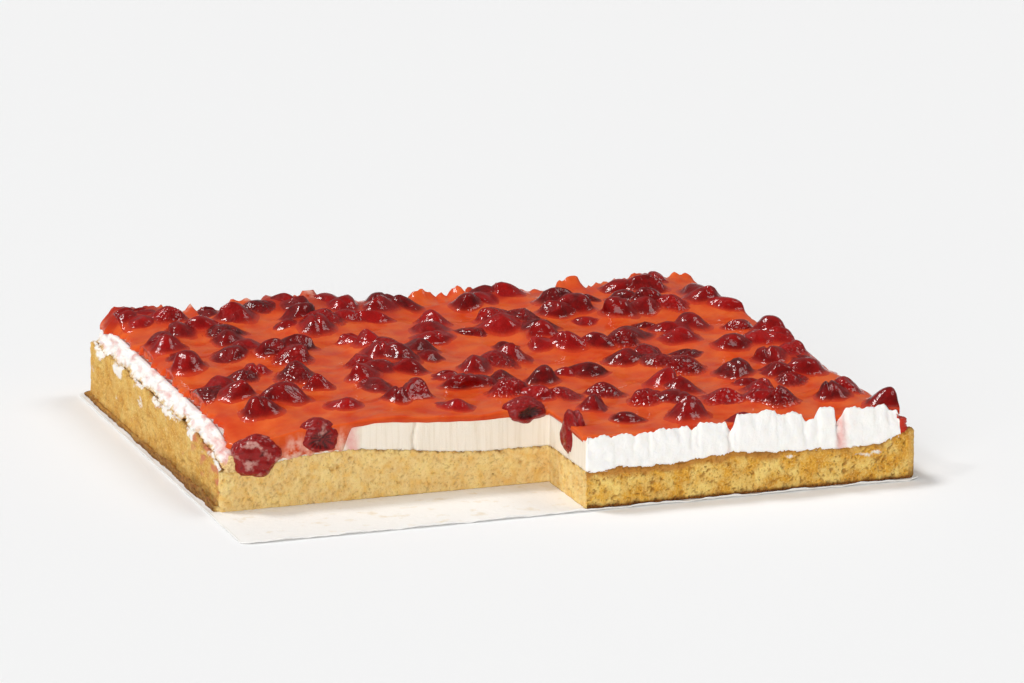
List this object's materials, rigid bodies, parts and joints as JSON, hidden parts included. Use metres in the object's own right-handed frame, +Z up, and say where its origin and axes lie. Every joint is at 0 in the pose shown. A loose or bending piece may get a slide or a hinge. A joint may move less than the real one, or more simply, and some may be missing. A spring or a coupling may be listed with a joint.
{
  "type": "raspberry sheet cake",
  "caption": "Rectangular sheet cake of sponge, cream, red glaze and glazed raspberries on baking paper, with a long strip cut out of a corner",
  "frame": {"origin": "under the middle of the footprint, on the surface the cake rests on", "axes": "+X along the long front edge to the right, +Y from the front edge to the back, +Z up"},
  "size_m": [0.409, 0.351, 0.0598],
  "materials": {
    "paper": "matt white baking paper",
    "sponge": "golden porous crumb with a browned crust",
    "cream": "whipped, matt to silky white",
    "glaze": "wet, glossy red jelly",
    "berry": "deep red raspberries, wet with glaze"
  },
  "bodies": {
    "root": {"baking_paper": "paper", "bared_berry_1": "berry", "bared_berry_2": "berry", "bared_berry_3": "berry", "bared_berry_4": "berry", "berries_01": "berry", "berries_02": "berry", "berries_03": "berry", "berries_04": "berry", "berries_05": "berry", "berries_06": "berry", "berries_07": "berry", "berries_08": "berry", "berries_09": "berry", "berries_10": "berry", "berries_11": "berry", "berries_12": "berry", "berries_13": "berry", "berries_14": "berry", "berries_15": "berry", "berries_16": "berry", "berries_17": "berry", "berries_18": "berry", "berries_19": "berry", "berries_20": "berry", "berries_21": "berry", "berries_22": "berry", "berries_23": "berry", "berries_24": "berry", "berries_25": "berry", "berries_26": "berry", "berries_27": "berry", "berries_28": "berry", "berries_29": "berry", "berries_30": "berry", "berries_31": "berry", "berries_32": "berry", "berries_33": "berry", "berries_34": "berry", "berries_35": "berry", "berries_36": "berry", "berries_37": "berry", "berries_38": "berry", "berries_39": "berry", "berries_40": "berry", "berries_41": "berry", "berries_42": "berry", "berries_43": "berry", "berries_44": "berry", "berries_45": "berry", "berries_46": "berry", "berries_47": "berry", "berries_48": "berry", "berries_49": "berry", "berries_50": "berry", "cream": "cream", "glaze": "glaze", "sponge": "sponge"}
  },
  "joints": []
}
